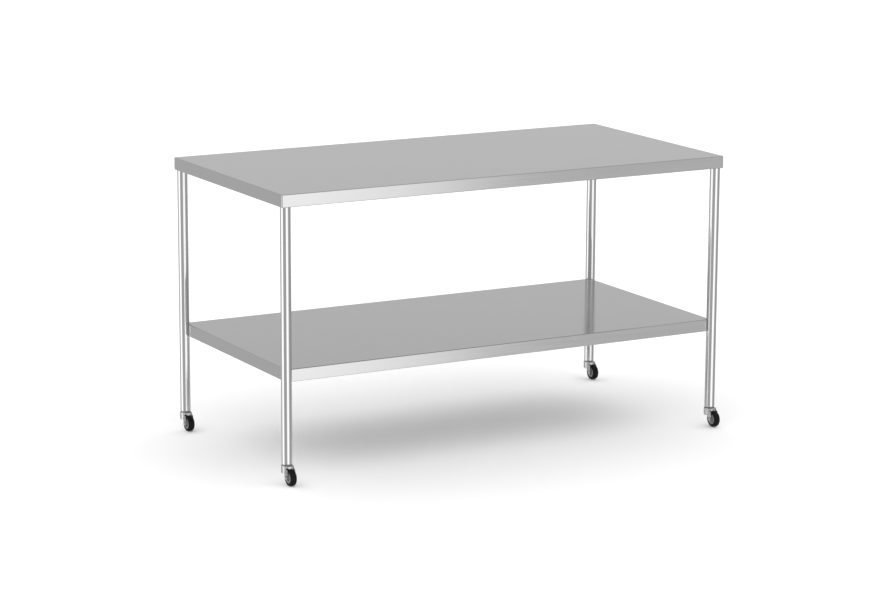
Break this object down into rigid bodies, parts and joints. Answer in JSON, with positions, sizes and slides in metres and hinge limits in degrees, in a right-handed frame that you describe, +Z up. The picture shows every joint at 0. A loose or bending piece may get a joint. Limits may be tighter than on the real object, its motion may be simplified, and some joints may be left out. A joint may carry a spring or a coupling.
{
  "type": "stainless work table",
  "caption": "Stainless steel work table with a flat folded top, a full lower shelf, round tube legs and small swivel casters.",
  "frame": {"origin": "on the floor, below the middle of the part's box, which takes in the front wheels; the middle of the top lies 15.5 mm behind it", "axes": "+X along the long side to the right as seen from the front, +Y to the back, +Z up"},
  "size_m": [1.524, 0.793, 0.8636],
  "materials": {
    "satin_stainless": "satin, fine grain along the length",
    "polished_stainless": "polished tube",
    "plated_steel": "bright plating",
    "bearing_steel": "plain bright steel",
    "grey_nylon": "moulded, matt",
    "black_rubber": "smooth solid rubber"
  },
  "bodies": {
    "table": {"top_panel": "satin_stainless", "top_channel_front": "satin_stainless", "top_channel_rear": "satin_stainless", "top_gusset_front_left": "satin_stainless", "top_gusset_front_right": "satin_stainless", "top_gusset_rear_left": "satin_stainless", "top_gusset_rear_right": "satin_stainless", "shelf_panel": "satin_stainless", "shelf_channel_front": "satin_stainless", "shelf_channel_rear": "satin_stainless", "leg_front_left": "polished_stainless", "leg_front_right": "polished_stainless", "leg_rear_left": "polished_stainless", "leg_rear_right": "polished_stainless", "leg_insert_front_left": "plated_steel", "leg_insert_front_right": "plated_steel", "leg_insert_rear_left": "plated_steel", "leg_insert_rear_right": "plated_steel", "caster_stem_front_left": "plated_steel", "caster_stem_front_right": "plated_steel", "caster_stem_rear_left": "plated_steel", "caster_stem_rear_right": "plated_steel", "caster_race_cap_front_left": "plated_steel", "caster_race_cap_front_right": "plated_steel", "caster_race_cap_rear_left": "plated_steel", "caster_race_cap_rear_right": "plated_steel"},
    "caster_front_left": {"caster_fork_front_left": "plated_steel", "caster_ball_ring_front_left": "bearing_steel", "axle_bolt_front_left": "plated_steel", "axle_nut_front_left": "plated_steel", "axle_sleeve_front_left": "bearing_steel"},
    "caster_front_right": {"caster_fork_front_right": "plated_steel", "caster_ball_ring_front_right": "bearing_steel", "axle_bolt_front_right": "plated_steel", "axle_nut_front_right": "plated_steel", "axle_sleeve_front_right": "bearing_steel"},
    "caster_rear_left": {"caster_fork_rear_left": "plated_steel", "caster_ball_ring_rear_left": "bearing_steel", "axle_bolt_rear_left": "plated_steel", "axle_nut_rear_left": "plated_steel", "axle_sleeve_rear_left": "bearing_steel"},
    "caster_rear_right": {"caster_fork_rear_right": "plated_steel", "caster_ball_ring_rear_right": "bearing_steel", "axle_bolt_rear_right": "plated_steel", "axle_nut_rear_right": "plated_steel", "axle_sleeve_rear_right": "bearing_steel"},
    "wheel_front_left": {"wheel_hub_front_left": "grey_nylon", "wheel_tyre_front_left": "black_rubber"},
    "wheel_front_right": {"wheel_hub_front_right": "grey_nylon", "wheel_tyre_front_right": "black_rubber"},
    "wheel_rear_left": {"wheel_hub_rear_left": "grey_nylon", "wheel_tyre_rear_left": "black_rubber"},
    "wheel_rear_right": {"wheel_hub_rear_right": "grey_nylon", "wheel_tyre_rear_right": "black_rubber"}
  },
  "joints": [
    {"name": "swivel_front_left", "type": "hinge", "parent": "table", "child": "caster_front_left", "pos_m": [-0.74282, -0.34632, 0.06], "axis": [0, 0, 1], "continuous": true},
    {"name": "swivel_front_right", "type": "hinge", "parent": "table", "child": "caster_front_right", "pos_m": [0.74282, -0.34632, 0.06], "axis": [0, 0, 1], "continuous": true},
    {"name": "swivel_rear_left", "type": "hinge", "parent": "table", "child": "caster_rear_left", "pos_m": [-0.74282, 0.37733, 0.06], "axis": [0, 0, 1], "continuous": true},
    {"name": "swivel_rear_right", "type": "hinge", "parent": "table", "child": "caster_rear_right", "pos_m": [0.74282, 0.37733, 0.06], "axis": [0, 0, 1], "continuous": true},
    {"name": "roll_front_left", "type": "hinge", "parent": "caster_front_left", "child": "wheel_front_left", "pos_m": [-0.74282, -0.37132, 0.02518], "axis": [1, 0, 0], "continuous": true},
    {"name": "roll_front_right", "type": "hinge", "parent": "caster_front_right", "child": "wheel_front_right", "pos_m": [0.74282, -0.37132, 0.02518], "axis": [1, 0, 0], "continuous": true},
    {"name": "roll_rear_left", "type": "hinge", "parent": "caster_rear_left", "child": "wheel_rear_left", "pos_m": [-0.74282, 0.35233, 0.02518], "axis": [1, 0, 0], "continuous": true},
    {"name": "roll_rear_right", "type": "hinge", "parent": "caster_rear_right", "child": "wheel_rear_right", "pos_m": [0.74282, 0.35233, 0.02518], "axis": [1, 0, 0], "continuous": true}
  ]
}
